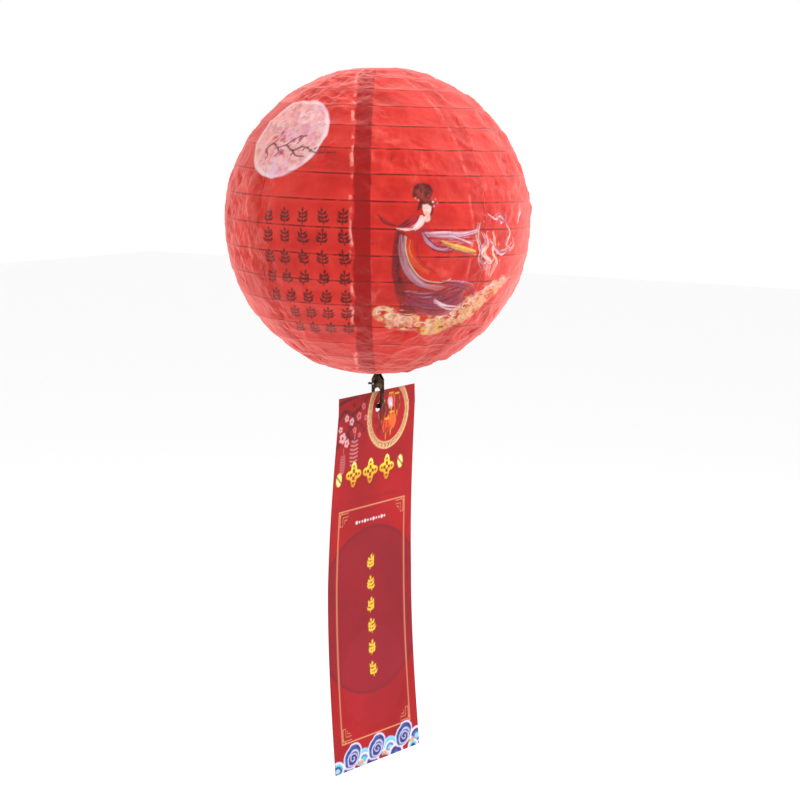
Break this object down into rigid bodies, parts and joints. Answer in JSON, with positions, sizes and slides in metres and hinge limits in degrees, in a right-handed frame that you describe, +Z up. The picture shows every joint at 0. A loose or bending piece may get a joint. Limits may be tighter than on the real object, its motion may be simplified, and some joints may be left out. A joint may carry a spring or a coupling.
{
  "type": "paper lantern",
  "caption": "Round red paper lantern on a spiral wire rib with a wire expander, and a printed card hanging from a swivel clasp under it.",
  "frame": {"origin": "centre of the hanging eye, just inside the top mouth of the shade", "axes": "+Z up along the shade's axis; the expander frame and the card lie in the XZ plane, and the card's printed front faces -Y"},
  "size_m": [0.2, 0.2, 0.4668],
  "materials": {
    "red_paper": "matte, slightly translucent",
    "rib_wire": "satin",
    "hoop_wire": "satin",
    "frame_wire": "satin",
    "antique_brass": "polished with dark recesses",
    "pin_steel": "satin",
    "spring_steel": "satin",
    "printed_card": "gloss laminate"
  },
  "bodies": {
    "shade": {"paper_gore_1": "red_paper", "paper_gore_2": "red_paper", "paper_gore_3": "red_paper", "paper_gore_4": "red_paper", "paper_gore_5": "red_paper", "paper_gore_6": "red_paper", "paper_gore_7": "red_paper", "paper_gore_8": "red_paper", "spiral_wire": "rib_wire", "top_hoop": "hoop_wire", "bottom_hoop": "hoop_wire", "left_upright": "frame_wire", "right_upright": "frame_wire", "hanging_bar": "frame_wire", "bottom_bar": "frame_wire"},
    "eye": {"swivel_eye": "antique_brass"},
    "clasp": {"swivel_rivet": "antique_brass", "clasp_body": "antique_brass", "gate_pin": "pin_steel", "gate_spring": "spring_steel"},
    "gate": {"clasp_gate": "antique_brass"},
    "card": {"riddle_card": "printed_card"}
  },
  "joints": [
    {"name": "clasp_swing", "type": "hinge", "parent": "shade", "child": "eye", "pos_m": [0, 0, -0.19194], "axis": [1, 0, 0], "range_deg": [-15, 15]},
    {"name": "clasp_swivel", "type": "hinge", "parent": "eye", "child": "clasp", "pos_m": [0, 0, -0.195], "axis": [0, 0, 1], "continuous": true},
    {"name": "gate_pivot", "type": "hinge", "parent": "clasp", "child": "gate", "pos_m": [0, 0.003, -0.20224], "axis": [-1, 0, 0], "range_deg": [0, 13], "stiffness_Nm_per_rad": 0.004, "springref_deg": -14.32, "deforming": ["gate_spring"]},
    {"name": "card_swing", "type": "hinge", "parent": "clasp", "child": "card", "pos_m": [0, 0, -0.21654], "axis": [0, 1, 0], "range_deg": [-12, 12]}
  ]
}
